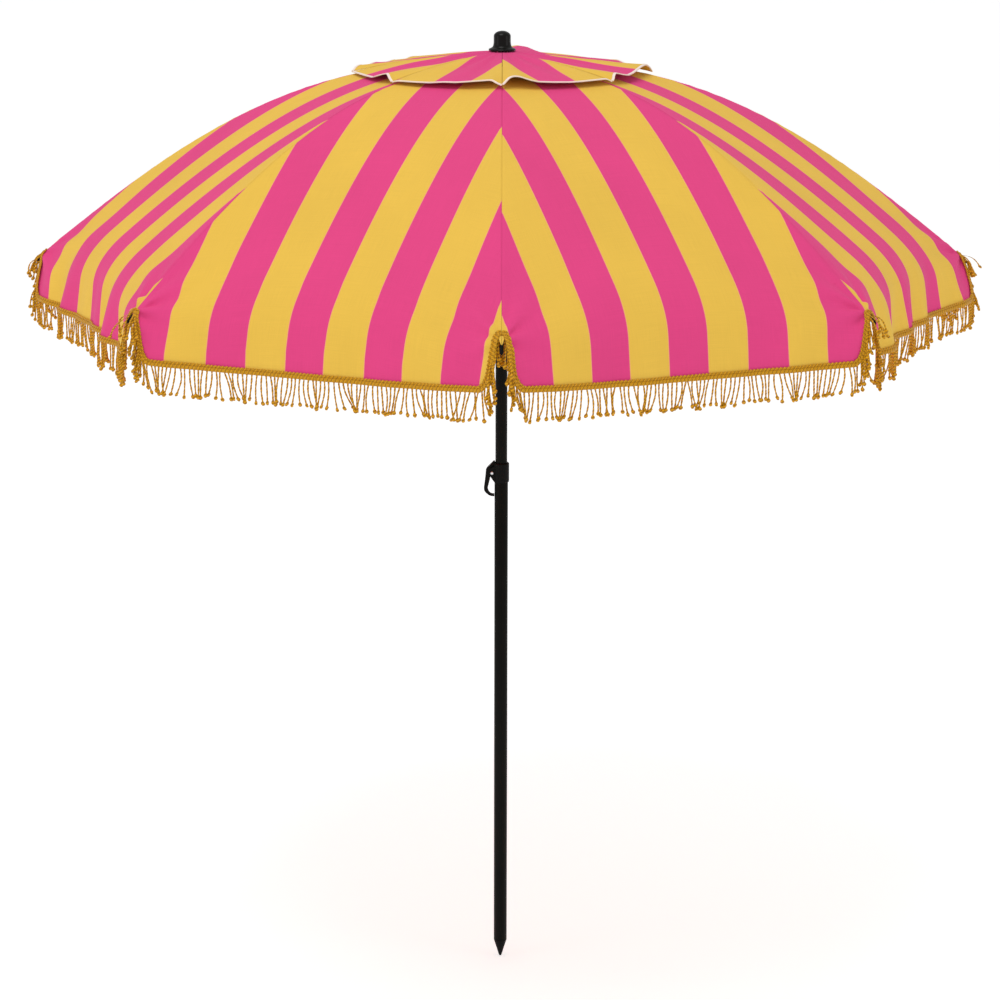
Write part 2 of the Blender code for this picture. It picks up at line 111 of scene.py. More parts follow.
CURVE_RADIUS = PIVOT_RADIUS + summed(np.cos(TURN))
CURVE_HEIGHT = PIVOT_HEIGHT + CLOTH_LIFT - summed(np.sin(TURN))


def over_rib(along):
    """(radius, height) of the cloth over a rib, at a length along the rib."""
    return np.interp(along, STATIONS, CURVE_RADIUS), np.interp(along, STATIONS, CURVE_HEIGHT)


OPENING = float(np.interp(OPENING_RADIUS, CURVE_RADIUS, STATIONS))
print("rim corner", over_rib(RIM_LENGTH), "opening at", round(OPENING, 3))

# %% [markdown]
# ## Modelling helpers
#
# Operators act on whatever is selected, so everything is deselected before a new piece starts. A turned
# part, such as a finial, grows from a disc: the disc is extruded up and scaled once for each step of the
# profile, as a turner would read the profile from the bottom up. A plate, such as a lever, starts as a flat
# outline that is thickened with rounded edges.

# %% Selecting and finishing
def clear_selection():
    if bpy.context.mode != "OBJECT":
        bpy.ops.object.mode_set(mode="OBJECT")
    bpy.ops.object.select_all(action="DESELECT")


def only(piece):
    clear_selection()
    piece.select_set(True)
    bpy.context.view_layer.objects.active = piece


def place_in_mesh(piece):
    """The object goes to the origin, and its place goes into its mesh."""
    only(piece)
    bpy.ops.object.transform_apply(location=True, rotation=True, scale=True)


def apply_modifier(piece, kind, **settings):
    only(piece)
    step = piece.modifiers.new(kind.title(), kind)
    for name, value in settings.items():
        setattr(step, name, value)
    bpy.ops.object.modifier_apply(modifier=step.name)


def smooth(piece, angle=40):
    only(piece)
    bpy.ops.object.shade_smooth_by_angle(angle=math.radians(angle))


def faces_out():
    """In edit mode: turns every face outward, then leaves edit mode."""
    bpy.ops.mesh.select_all(action="SELECT")
    bpy.ops.mesh.normals_make_consistent(inside=False)
    bpy.ops.object.mode_set(mode="OBJECT")


def faces_of(piece):
    return len(piece.data.polygons)


# %% A turned part
def turned(name, profile, segments=48):
    """Grows a part round Z from a profile of (radius, height), from the bottom up."""
    clear_selection()
    radius, height = profile[0]
    bpy.ops.mesh.primitive_circle_add(vertices=segments, radius=radius, fill_type="NGON",
                                      location=(0, 0, height))
    piece = bpy.context.object
    piece.name = name
    place_in_mesh(piece)
    bpy.ops.object.mode_set(mode="EDIT")
    bpy.ops.mesh.select_all(action="SELECT")
    for wider, higher in profile[1:]:
        move = {"value": (0, 0, higher - height)}
        bpy.ops.mesh.extrude_region_move(TRANSFORM_OT_translate=move)
        ratio = wider / radius
        bpy.ops.transform.resize(value=(ratio, ratio, 1), center_override=(0, 0, higher))
        radius, height = wider, higher
    faces_out()
    return piece


# %% A plate with rounded edges
def plate(name, outline, half_width, edge):
    """A flat (x, z) outline, thickened along Y, with its edges rounded."""
    clear_selection()
    curve = bpy.data.curves.new(name, "CURVE")
    curve.dimensions = "2D"
    curve.fill_mode = "BOTH"
    curve.extrude = half_width - edge
    curve.bevel_depth = edge
    curve.bevel_resolution = 2
    curve.offset = -edge
    spline = curve.splines.new("POLY")
    spline.points.add(len(outline) - 1)
    for point, (x, z) in zip(spline.points, outline):
        point.co = (x, z, 0, 1)
    spline.use_cyclic_u = True
    piece = bpy.data.objects.new(name, curve)
    bpy.context.scene.collection.objects.link(piece)
    only(piece)
    bpy.ops.object.convert(target="MESH")
    piece.rotation_euler.x = math.pi / 2
    place_in_mesh(piece)
    bpy.ops.object.mode_set(mode="EDIT")
    bpy.ops.mesh.select_all(action="SELECT")
    bpy.ops.mesh.remove_doubles(threshold=0.00002)
    faces_out()
    return piece


# %% [markdown]
# ## Shader helpers
#
# A finish is a small sum: base colour, plus a little of this where that mask is on. Writing it as Python
# arithmetic keeps it readable, so one class wraps a socket and turns + - * / into Math nodes. Colours mix
# in a Mix node, because a Math node would turn them grey.

# %% Arithmetic on sockets
class Value:
    """One output of a node; arithmetic on it adds Math nodes."""

    def __init__(self, tree, output):
        self.tree, self.output = tree, output

    def math(self, operation, *terms):
        node = self.tree.nodes.new("ShaderNodeMath")
        node.operation = operation
        for socket, term in zip(node.inputs, terms):
            feed(self.tree, socket, term)
        return Value(self.tree, node.outputs[0])

    def named(self, name):
        return Value(self.tree, self.output.node.outputs[name])

    def __add__(self, other):
        return self.math("ADD", self, other)

    def __sub__(self, other):
        return self.math("SUBTRACT", self, other)

    def __rsub__(self, other):
        return self.math("SUBTRACT", other, self)

    def __mul__(self, other):
        return self.math("MULTIPLY", self, other)

    def __truediv__(self, other):
        return self.math("DIVIDE", self, other)

    def __gt__(self, other):
        return self.math("GREATER_THAN", self, other)

    def __lt__(self, other):
        return self.math("LESS_THAN", self, other)

    def fraction(self):
        return self.math("FRACT", self)

    def sine(self):
        return self.math("SINE", self)

    def size(self):
        return self.math("ABSOLUTE", self)

    __radd__ = __add__
    __rmul__ = __mul__


def feed(tree, socket, value):
    if isinstance(value, Value):
        tree.links.new(value.output, socket)
    else:
        socket.default_value = value


# %% A finish
def tint(red, green, blue):
    """A screen colour of 0 to 255 as the linear colour that a shader wants."""
    shares = [c / 255 for c in (red, green, blue)]
    linear = [c / 12.92 if c <= 0.04045 else ((c + 0.055) / 1.055) ** 2.4 for c in shares]
    return (*linear, 1.0)


class Finish:
    """One material, and the nodes that feed its shader."""

    def __init__(self, name, constants):
        self.material = bpy.data.materials.new(name)
        self.material.use_nodes = True
        self.tree = self.material.node_tree
        self.shader = self.tree.nodes["Principled BSDF"]
        for socket, value in constants.items():
            self.shader.inputs[socket].default_value = value

    def node(self, kind, settings, sockets):
        made = self.tree.nodes.new(kind)
        for name, value in settings.items():
            setattr(made, name, value)
        for name, value in sockets.items():
            feed(self.tree, made.inputs[name], value)
        return Value(self.tree, made.outputs[0])

    def vector(self, x, y, z=0.0):
        return self.node("ShaderNodeCombineXYZ", {}, {"X": x, "Y": y, "Z": z})

    def mix(self, share, first, second):
        mixed = self.node("ShaderNodeMix", {"data_type": "RGBA"}, {0: share, 6: first, 7: second})
        return Value(self.tree, mixed.output.node.outputs[2])

    def noise(self, place, scale, detail=2.0, roughness=0.5):
        return self.node("ShaderNodeTexNoise", {}, {"Vector": place, "Scale": scale,
                                                   "Detail": detail, "Roughness": roughness})

    def bump(self, height, strength, distance):
        return self.node("ShaderNodeBump", {}, {"Height": height, "Strength": strength,
                                                "Distance": distance})

    def both_of(self, layer):
        """The two numbers of a map."""
        place = self.node("ShaderNodeUVMap", {"uv_map": layer}, {})
        split = self.node("ShaderNodeSeparateXYZ", {}, {"Vector": place})
        return split.named("X"), split.named("Y")

    def set(self, socket, value):
        feed(self.tree, self.shader.inputs[socket], value)


def cover(piece, finish):
    """The piece shows this finish on all its faces."""
    piece.data.materials.clear()
    piece.data.materials.append(finish.material)


def wear(piece, finish):
    cover(piece, finish)
    return piece


# %% [markdown]
# ## Cloth finish
#
# The canopy is a plain-woven cotton blend with stripes woven in: the colour changes from one warp thread to
# the next, so the stripes run straight down each gore and their edges are clean. The pattern reads a map
# that holds each point's distance in metres from a stripe's edge and down the gore. The weave is fine
# enough to look matt; what the eye sees is slight slub, a faint sheen and a thin pale thread at each
# stripe's edge.

# %% Striped cloth
PINK = tint(224, 68, 130)
MUSTARD = tint(231, 188, 76)
EDGE_THREAD = tint(240, 176, 118)
THREAD_GAP = 0.0011


def striped_cloth():
    cloth = Finish("striped_cloth", {"Roughness": 0.85, "Sheen Weight": 0.05, "Sheen Roughness": 0.5,
                                     "Specular IOR Level": 0.12})
    across, along = cloth.both_of("cloth")
    band = across / STRIPE
    in_pink = (band * 0.5).fraction() < 0.5
    colour = cloth.mix(in_pink, MUSTARD, PINK)
    from_edge = (band.fraction() - 0.5).size()
    colour = cloth.mix((from_edge > 0.488) * 0.55, colour, EDGE_THREAD)
    warp = cloth.noise(cloth.vector(across * 900, along * 14), 1.0, 1.0)
    weft = cloth.noise(cloth.vector(across * 14, along * 900), 1.0, 1.0)
    patch = cloth.noise(cloth.vector(across * 5, along * 5), 1.0, 3.0)
    slub = warp * 0.10 + weft * 0.10 + patch * 0.12
    shade = cloth.node("ShaderNodeMix", {"data_type": "RGBA", "blend_type": "MULTIPLY"},
                       {0: 1.0, 6: colour,
                        7: cloth.vector(slub + 0.84, slub + 0.84, slub + 0.84)})
    cloth.set("Base Color", Value(cloth.tree, shade.output.node.outputs[2]))
    cloth.set("Roughness", patch * 0.10 + 0.77)
    threads = (across * (math.tau / THREAD_GAP)).sine() * (along * (math.tau / THREAD_GAP)).sine()
    height = threads * 0.4 + warp * 0.5 + weft * 0.5
    cloth.set("Normal", cloth.bump(height, 0.35, 0.00035))
    return cloth


cloth_finish = striped_cloth()
print("cloth finish has", len(cloth_finish.tree.nodes), "nodes")

# %% [markdown]
# ## Gold trim finishes
#
# The fringe is cord: a few yarns twisted together, so grooves run round it like the thread of a screw, and
# the grooves are painted darker as shade. The map's first number goes once round the cord and the second is
# the length along it, so one sine of both gives the twist. The braid is a flat gimp with two rows of looped
# cord along its length, painted darker as shade where it lies low between the loops.

# %% Twisted cord and braid
GOLD = tint(224, 158, 12)
GOLD_LIGHT = tint(240, 182, 26)
# Painted shade: the gold of cord and braid as it looks in the shade of their grooves and hollows.
GOLD_SHADE = tint(112, 70, 4)
GOLD_GLOSS = {"Roughness": 0.5, "Sheen Weight": 0.08, "Sheen Roughness": 0.4, "Specular IOR Level": 0.22}
CORD_TWIST, BRAID_LOOP = 0.0062, 0.0082


def gold_cord():
    cord = Finish("gold_cord", GOLD_GLOSS)
    around, along = cord.both_of("trim")
    twist = ((along / CORD_TWIST + around) * math.tau).sine()
    groove = twist * 0.5 + 0.5
    fibre = cord.noise(cord.vector(around * 6, along * 700), 1.0, 2.0)
    # Painted shade: the cord is darker in the low part of the twist, where the grooves are.
    colour = cord.mix(groove, GOLD_SHADE, GOLD)
    colour = cord.mix(fibre * 0.45, colour, GOLD_LIGHT)
    cord.set("Base Color", colour)
    cord.set("Roughness", fibre * 0.25 + 0.38)
    cord.set("Normal", cord.bump(groove + fibre * 0.3, 0.6, 0.0006))
    return cord


def gold_braid():
    braid = Finish("gold_braid", GOLD_GLOSS)
    around, along = braid.both_of("trim")
    loops = ((around * 2 + along / BRAID_LOOP) * math.tau).sine()
    strands = ((along / (BRAID_LOOP / 2) - around * 4) * math.tau).sine()
    relief = loops * 0.25 + strands * 0.25 + 0.5
    fibre = braid.noise(braid.vector(around * 14, along * 500), 1.0, 2.0)
    # Painted shade: the braid is darker where its relief is low, in the hollows between loops and strands.
    colour = braid.mix(relief, GOLD_SHADE, GOLD)
    colour = braid.mix(fibre * 0.35, colour, GOLD_LIGHT)
    braid.set("Base Color", colour)
    braid.set("Roughness", fibre * 0.25 + 0.4)
    braid.set("Normal", braid.bump(relief + fibre * 0.3, 0.8, 0.0012))
    return braid


def cream_tape():
    tape = Finish("cream_tape", {"Roughness": 0.85, "Sheen Weight": 0.2, "Specular IOR Level": 0.25})
    around, along = tape.both_of("trim")
    weave = tape.noise(tape.vector(around * 60, along * 900), 1.0, 2.0)
    stitch = ((along / 0.0032).fraction() < 0.62) * ((around - 0.25).size() < 0.03)
    colour = tape.mix(weave, tint(250, 236, 226), tint(233, 214, 204))
    tape.set("Base Color", tape.mix(stitch * 0.5, colour, tint(214, 190, 176)))
    tape.set("Roughness", weave * 0.1 + 0.78)
    tape.set("Normal", tape.bump(weave + stitch * 0.6, 0.4, 0.0004))
    return tape


cord_finish, braid_finish, tape_finish = gold_cord(), gold_braid(), cream_tape()

# %% [markdown]
# ## Finishes of the hard parts
#
# The tubes, ribs and struts are powder-coated steel: satin black with a faint orange-peel surface. The hub,
# runner, collar and spike are moulded plastic with a fine grain, and the finial is polished. Handling
# leaves the edges a little smoother, so the roughness drifts slowly over each part.

# %% Black paint and plastics
def coated(name, colour, rough, grain, constants, metallic=0.0):
    """A near-black coat whose gloss and grain vary slowly over the part."""
    coat = Finish(name, {"Metallic": metallic, **constants})
    place = coat.node("ShaderNodeTexCoord", {}, {}).named("Object")
    fine = coat.noise(place, grain, 2.0)
    slow = coat.noise(place, 7.0, 3.0)
    scuff = coat.noise(place, 60.0, 4.0, 0.7) > 0.68
    lighter = tuple(min(1.0, c * 2.4 + 0.004) for c in colour[:3]) + (1.0,)
    tone = coat.mix(slow * 0.6, colour, lighter)
    coat.set("Base Color", coat.mix(scuff * 0.25, tone, lighter))
    coat.set("Roughness", slow * 0.16 + scuff * 0.06 + (rough - 0.08))
    coat.set("Normal", coat.bump(fine, 0.25, 0.0002))
    return coat


BLACK = (0.0028, 0.0029, 0.0022, 1.0)
paint = coated("satin_black_paint", BLACK, 0.42, 1400.0, {"Specular IOR Level": 0.05})
moulding = coated("black_moulding", (0.0028, 0.0028, 0.0026, 1.0), 0.45, 2200.0,
                  {"Specular IOR Level": 0.06})
polished = coated("polished_moulding", (0.003, 0.003, 0.0025, 1.0), 0.19, 500.0,
                  {"Specular IOR Level": 0.14})
steel = coated("bright_steel", (0.55, 0.55, 0.57, 1.0), 0.3, 900.0, {}, 1.0)
nylon = coated("grey_nylon", (0.26, 0.26, 0.27, 1.0), 0.5, 1500.0, {})

# %% Finishes on the frame's own parts
for name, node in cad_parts.items():
    if name.startswith(("rib_tip", "crown", "runner", "lock_collar")):
        finish = moulding
    elif name == "lock_button_rivet":
        finish = steel
    elif name == "pole_bush":
        finish = nylon
    else:
        finish = paint
    cover(node, finish)
print("finished", len(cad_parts), "solids of the frame")

# %% [markdown]
# ## The poles
#
# Two steel tubes slide one in the other. The real ones are welded tube, cut square with the edge just
# broken, and the upper one has a row of holes for the lock button's nose. A cylinder with its end faces cut
# away and a wall added gives the tube, and round cutters drill the holes.

# %% Tubes
TUBE_WALL = 0.0012
HOLES, HOLE_RADIUS, HOLE_SPACING = 4, 0.0034, 0.0567


def tube(name, radius, node):
    """A tube as long as the frame's own pole."""
    low, high = (corner.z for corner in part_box(node))
    clear_selection()
    bpy.ops.mesh.primitive_cylinder_add(vertices=64, radius=radius, depth=high - low,
                                        end_fill_type="NOTHING", location=(0, 0, (low + high) / 2))
    piece = bpy.context.object
    piece.name = name
    place_in_mesh(piece)
    apply_modifier(piece, "SOLIDIFY", thickness=TUBE_WALL, offset=-1.0)
    apply_modifier(piece, "BEVEL", width=0.0003, segments=2, limit_method="ANGLE",
                   angle_limit=math.radians(60))
    return piece


def drill(piece, height):
    """A round hole through the wall on the lever's side."""
    clear_selection()
    bpy.ops.mesh.primitive_cylinder_add(vertices=24, radius=HOLE_RADIUS, depth=0.012,
                                        rotation=(0, math.pi / 2, 0), location=(-0.0145, 0, height))
    cutter = bpy.context.object
    place_in_mesh(cutter)
    apply_modifier(piece, "BOOLEAN", operation="DIFFERENCE", object=cutter, solver="EXACT")
    bpy.data.objects.remove(cutter)


lower_tube = tube("lower_tube", LOWER_RADIUS, "lower_pole")
upper_tube = tube("upper_tube", UPPER_RADIUS, "upper_pole")
for step in range(HOLES):
    drill(upper_tube, COLLAR_TOP - 0.0125 - HOLE_SPACING * step)
for piece, node, body in ((lower_tube, "lower_pole", "root"), (upper_tube, "upper_pole", "mast")):
    smooth(piece, 30)
    wear(piece, paint)
    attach(piece, body)
    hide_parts(node)
    print(piece.name, faces_of(piece), "faces")

# %% [markdown]
# ## Spike and finial
#
# Both are turned shapes. The spike is a blunt cone that plugs the lower tube: a bead stops it at the tube's
# end. The finial is a polished cap whose flared skirt clamps the vent cloth; its profile is read upwards.

# %% Spike
spike = turned("spike", [(0.0012, 0.0), (0.0026, 0.0012), (0.0040, 0.0042), (0.0098, 0.0240),
                         (0.0152, 0.0410), (0.0160, 0.0440), (0.0161, 0.0458), (0.0156, 0.0461),
                         (0.0144, 0.0462), (0.0144, 0.1000)])
apply_modifier(spike, "BEVEL", width=0.0005, segments=2, limit_method="ANGLE",
               angle_limit=math.radians(25))
smooth(spike)
wear(spike, moulding)
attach(spike, "root")
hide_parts("ground_spike")

# %% Finial
low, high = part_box("finial")
skirt = low.z + 0.035
finial_profile = [(0.0050, low.z), (0.0050, skirt), (0.0306, skirt), (0.0310, skirt + 0.0004),
                  (0.0310, skirt + 0.0022), (0.0304, skirt + 0.0032), (0.0290, skirt + 0.0044),
                  (0.0255, skirt + 0.0058), (0.0228, skirt + 0.0074), (0.0211, skirt + 0.0098),
                  (0.0203, skirt + 0.0124), (0.0198, skirt + 0.0160), (0.0195, skirt + 0.0200)]
for angle in np.linspace(0.0, 1.52, 11):
    finial_profile.append((0.0195 * math.cos(angle), high.z - 0.0125 + 0.0125 * math.sin(angle)))
cap = turned("finial_cap", finial_profile, 64)
smooth(cap, 50)
wear(cap, polished)
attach(cap, "mast")
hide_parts("finial")
print("spike", faces_of(spike), "faces, finial", faces_of(cap), "faces")

# %% [markdown]
# ## The lock lever
#
# One moulding does three jobs: a ridged thumb slope, a stiff arm, and a thin tail that curves back to the
# pole and springs. It is a plate with a constant width, so its side outline carries the whole shape. In use
# the arm turns on the rivet while the tail's end stays against the pole, so the moulding bends between the
# two; the piece here is made in its rest shape only.

# %% Lever outline
def ridged(start, end, ridges, height):
    """Points of a ridged slope from start to end."""
    start, end = Vector(start), Vector(end)
    run = end - start
    out = Vector((run.y, -run.x)).normalized() * height
    points = []
    for ridge in range(ridges):
        for share, lift in ((0.05, 0.0), (0.25, 1.0), (0.60, 1.0), (0.85, 0.0)):
            points.append(start + run * (ridge + share) / ridges - out * lift)
    return [tuple(p) for p in points]


def close_points(points, gap):
    """Adds points so that no step along the outline is longer than gap."""
    result = []
    for here, there in zip(points, points[1:] + points[:1]):
        here, there = Vector(here), Vector(there)
        count = max(1, math.ceil((there - here).length / gap))
        result += [tuple(here.lerp(there, k / count)) for k in range(count)]
    return result


upper_side = [(-0.0147, -0.0060), (-0.0147, 0.0020), (-0.0156, 0.0045), (-0.0172, 0.0046)]
upper_side += ridged((-0.0180, 0.0035), (-0.0345, -0.0138), 6, -0.0011)
upper_side += [(-0.0358, -0.0155), (-0.0364, -0.0180), (-0.0368, -0.0230), (-0.0377, -0.0330),
               (-0.0390, -0.0450), (-0.0402, -0.0540), (-0.0410, -0.0600), (-0.0408, -0.0645),
               (-0.0398, -0.0680), (-0.0379, -0.0708), (-0.0350, -0.0738), (-0.0309, -0.0771),
               (-0.0280, -0.0788), (-0.0248, -0.0802), (-0.0205, -0.0808), (-0.0165, -0.0810)]
under_side = [(-0.0165, -0.0764), (-0.0210, -0.0760), (-0.0255, -0.0745), (-0.0285, -0.0712),
              (-0.0305, -0.0676), (-0.0318, -0.0625), (-0.0319, -0.0600), (-0.0307, -0.0545),
              (-0.0294, -0.0495), (-0.0280, -0.0435), (-0.0268, -0.0385), (-0.0262, -0.0330),
              (-0.0240, -0.0310), (-0.0180, -0.0300), (-0.0180, -0.0100)]
lever_outline = [(x, COLLAR_TOP + z) for x, z in close_points(upper_side + under_side, 0.003)]
lever = plate("lock_lever", lever_outline, 0.0064, 0.0007)
smooth(lever, 35)
wear(lever, moulding)
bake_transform(lever)
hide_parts("lock_button", "lock_button_tail")
print("lever", faces_of(lever), "faces")

# %% [markdown]
# ## The shape of the cloth
#
# One gore is cut for each gap between two ribs. Between the ribs the cloth is stretched straight across and
# sags a little; at the rim it turns down into the valance. Seen from the side, each line down a gore is the
# rib's curve, a soft bend, and a nearly straight drop. The functions below give a point of that surface
# from two numbers: across, -1 at one rib to 1 at the next, and the length along the line, 0 at the rim.

# %% One line down a gore
HEM_HEIGHT = 1.652
HEM_MIDDLE_OUT = 0.965
HEM_CORNERS_OUT = {2: (0.998, 1.030), 7: (1.014, 0.998)}
LEAD, DROP, RIB_POINTS = 0.085, 0.055, 160
NOTCH = [(0, -0.10), (0.003, -0.085), (0.006, -0.03), (0.0085, 0.07), (0.0105, 0.19), (0.0125, 0.37),
         (0.015, 0.58), (0.019, 0.75), (0.024, 0.855), (0.033, 0.93), (0.045, 0.968), (0.065, 0.99),
         (0.09, 1.0)]
DEEP_NOTCH = [(0, -0.33), (0.003, -0.31), (0.006, -0.24), (0.009, -0.13), (0.011, -0.03), (0.013, 0.09),
              (0.0145, 0.33), (0.017, 0.56), (0.020, 0.69), (0.025, 0.81), (0.034, 0.905),
              (0.045, 0.952), (0.068, 0.985), (0.1, 1.0)]
NOTCHES = {1: DEEP_NOTCH}
HEM_RISES = {(8, 1): 0.016, (1, -1): 0.016}


class GoreLine:
    """The side view of the cloth at one place across a gore, as a smooth line."""

    def __init__(self, across, number):
        self.across = across
        rim = RIM_LENGTH - RIM_BOW * (1 - across ** 2)
        radius, height = over_rib(rim)
        self.rim_out = radius * math.cos(HALF)
        self.width = radius * math.sin(HALF)
        self.from_rib = self.width * (1 - abs(across))
        corners = HEM_CORNERS_OUT.get(number, (0.998, 0.998))
        corner_out = corners[0] if across < 0 else corners[1]
        hem_out = HEM_MIDDLE_OUT + (corner_out - HEM_MIDDLE_OUT) * across ** 2
        side = -1 if across < 0 else 1
        hem_up = HEM_HEIGHT + HEM_RISES.get((number, side), 0.008) * abs(across) ** 2.5
        full = math.hypot(hem_out - self.rim_out, hem_up - height)
        self.fold = min(1.0, 0.06 + (self.from_rib / 0.07) ** 0.8)
        lead, turn = LEAD * self.fold, DROP * self.fold
        down = np.array([hem_out - self.rim_out, hem_up - height]) / full
        radii, heights = over_rib(np.linspace(OPENING, rim - lead, RIB_POINTS))
        curve = np.stack([radii * math.cos(HALF), heights], 1)
        corner = np.array([self.rim_out, height])
        t = np.linspace(0, 1, 40)[1:, None]
        bend = (1 - t) ** 2 * curve[-1] + 2 * t * (1 - t) * corner + t ** 2 * (corner + down * turn)
        rest = np.linspace(turn, full, 40)[1:, None]
        self.line = np.concatenate([curve, bend, corner + down * rest])
        steps = np.hypot(*np.diff(self.line, axis=0).T)
        self.length = np.concatenate([[0], np.cumsum(steps)])
        self.length -= self.length[RIB_POINTS - 1] + lead
        self.start = float(self.length[0])
        rib = number if across < 0 else number % SPOKES + 1
        self.end = full * float(np.interp(self.from_rib, *zip(*NOTCHES.get(rib, NOTCH))))
        self.end = min(self.end, float(self.length[-1]))
        self.lead = lead
        before = radii * math.sin(HALF)
        self.widths = (np.append(self.length[:RIB_POINTS], 0.0), np.append(before, self.width))
        self.split = min(0.062 * self.fold, self.end * 0.6 if self.end > 0.01 else self.end - 0.004)

    def at(self, along):
        """(out, up) and the outward normal at a length past the rim."""
        here, ahead, behind = (
            (np.interp(spot, self.length, self.line[:, 0]), np.interp(spot, self.length, self.line[:, 1]))
            for spot in (along, along + 0.004, along - 0.004))
        run = Vector((ahead[0] - behind[0], ahead[1] - behind[1])).normalized()
        return float(here[0]), float(here[1]), Vector((-run.y, run.x))


# %% Folds of one gore
SAG, CREASE, PUCKER, GROOVE = 0.011, 0.0062, 0.0007, 0.0012
RIPPLE = {1: 0.0026, 2: 0.0082, 3: 0.0070, 4: 0.0060, 5: 0.0060, 6: 0.0070, 7: 0.0082, 8: 0.0026}


class Folds:
    """The sag, ripples and creases of one gore, the same each run."""

    def __init__(self, number):
        chance = random.Random(100 + number)
        self.ripple = RIPPLE[number]
        self.waves = [(chance.uniform(0.6, 1.0), length * chance.uniform(0.9, 1.1),
                       chance.uniform(0, math.tau)) for length in (0.115, 0.17, 0.27)]
        self.crease = [(chance.uniform(0.8, 1.2), chance.uniform(0, math.tau)) for _ in range(2)]
        self.pucker = [chance.uniform(0, math.tau) for _ in range(2)]

    def lift(self, line, along):
        """How far the cloth stands out from its plain line here."""
        across, from_rib = line.across, line.from_rib
        sideways = across * line.width
        share = min(1.0, max(0.0, (along - line.start) / (0.02 - line.start)))
        sag = -SAG * (1 - across ** 2) * math.sin(math.pi * share) ** 1.4
        hang = min(1.0, max(0.0, (along + 0.06) / 0.20))
        hang = hang * hang * (3 - 2 * hang)
        edge = min(1.0, from_rib / 0.09)
        drift = 0.15 * along
        wave = sum(size * math.sin(math.tau * (sideways + drift) / length + phase)
                   for size, length, phase in self.waves)
        hem = self.ripple * hang * edge * wave
        side = 0 if across < 0 else 1
        reach = math.hypot(from_rib, along + 0.015)
        angle = math.atan2(along + 0.015, from_rib + 0.004)
        size, phase = self.crease[side]
        fade = math.exp(-reach / 0.10) * min(1.0, reach / 0.030) * min(1.0, from_rib / 0.02)
        crease = CREASE * size * math.sin(angle * 6.5 + phase) * fade
        pucker = PUCKER * math.sin(math.tau * along / 0.034 + self.pucker[side])
        pucker *= math.exp(-from_rib / 0.018) * min(1.0, from_rib / 0.004)
        groove = -GROOVE * math.exp(-(from_rib / 0.004) ** 2)
        return sag + hem + crease + pucker + groove


# %% [markdown]
# ## Cutting and sewing the gores
#
# Every gore starts as a flat grid, as cloth starts as a flat cut, and its points are then moved onto the
# curved surface. The stripe map is written at the same time, so the stripes follow the threads. The valance
# is the lower part of the same surface: it is a piece of its own because it goes on hanging when the ribs
# fold, and a narrow facing behind the joint keeps it closed.

# %% Grids for cloth
STRIPE_START = [-0.0365, -0.028, -0.044, -0.047, -0.040, -0.046, -0.059, -0.062]
STRIPE_LEAN = {8: -0.010, 1: 0.001}
UP_AND_OUT = Vector((0.6, 0, 1.0))
BEHIND_GORE = 0.0018


def grid_piece(name, points, maps, layer):
    """A grid whose points are moved, row by row, to their places, and its map."""
    rows, columns = points.shape[0] - 1, points.shape[1] - 1
    clear_selection()
    bpy.ops.mesh.primitive_grid_add(x_subdivisions=columns, y_subdivisions=rows, size=2)
    piece = bpy.context.object
    piece.name = name
    mesh = piece.data
    order = np.array([tuple(v.co[:2]) for v in mesh.vertices])
    column = np.rint((order[:, 0] + 1) / 2 * columns).astype(int)
    row = np.rint((order[:, 1] + 1) / 2 * rows).astype(int)
    mesh.vertices.foreach_set("co", points[row, column].astype(np.float32).ravel())
    while mesh.uv_layers:
        mesh.uv_layers.remove(mesh.uv_layers[0])
    uv = mesh.uv_layers.new(name=layer)
    vertex = np.zeros(len(mesh.loops), np.int32)
    mesh.loops.foreach_get("vertex_index", vertex)
    uv.data.foreach_set("uv", maps[row, column][vertex].astype(np.float32).ravel())
    mesh.update()
    return piece


def cloth_piece(name, rows, columns, point_and_map, sharp, place=None):
    """A sheet of cloth with its own thickness, its faces turned out."""
    points = np.zeros((len(rows), len(columns), 3))
    maps = np.zeros((len(rows), len(columns), 2))
    for r, row in enumerate(rows):
        for c, column in enumerate(columns):
            points[r, c], maps[r, c] = point_and_map(row, column)
    piece = grid_piece(name, points, maps, "cloth")
    if sum(p.normal.dot(UP_AND_OUT) for p in piece.data.polygons) < 0:
        piece.data.flip_normals()
    apply_modifier(piece, "SOLIDIFY", thickness=CLOTH, offset=-1.0)
    smooth(piece, sharp)
    if place:
        piece.data.transform(place)
    return wear(piece, cloth_finish)


def to_panel(number):
    """Turns the gore's own frame to its place round the pole."""
    return Matrix.Rotation(FIRST_RIB + HALF + (number - 1) * STEP, 4, "Z")


# %% A gore's surface
RIM_HALF = float(over_rib(RIM_LENGTH)[0]) * math.sin(HALF)
CORNER_STEPS = [0, 0.003, 0.0055, 0.0075, 0.009, 0.0105, 0.0118, 0.0132, 0.0148, 0.0168, 0.019, 0.0215,
                0.0245, 0.0285, 0.0335, 0.0400, 0.0475, 0.0560]
half_places = [-1 + step / RIM_HALF for step in CORNER_STEPS]
half_places += list(np.linspace(half_places[-1], 0, 43)[1:])
HALF_COLUMNS = len(half_places) - 1
left_lines = {n: [GoreLine(a, n) for a in half_places] for n in range(1, SPOKES + 1)}
right_lines = {n: [GoreLine(-a, n) for a in half_places[::-1]] for n in range(1, SPOKES + 1)}
print("columns in half a gore", HALF_COLUMNS)


def cloth_point(line, folds, along, inward=0.0):
    """A point of the cloth in the gore's own frame."""
    out, up, normal = line.at(along)
    lift = folds.lift(line, along) - inward
    width = float(np.interp(along, *line.widths))
    return Vector((out + normal.x * lift, line.across * (width - SEAM_GAP), up + normal.y * lift))


def stripe_place(number, sideways, along):
    """Distance across the stripes, which lean a little on some valances."""
    lean = STRIPE_LEAN.get(number, 0.0) * min(1.0, max(0.0, (along + 0.04) / 0.12))
    return sideways - STRIPE_START[number - 1] - lean


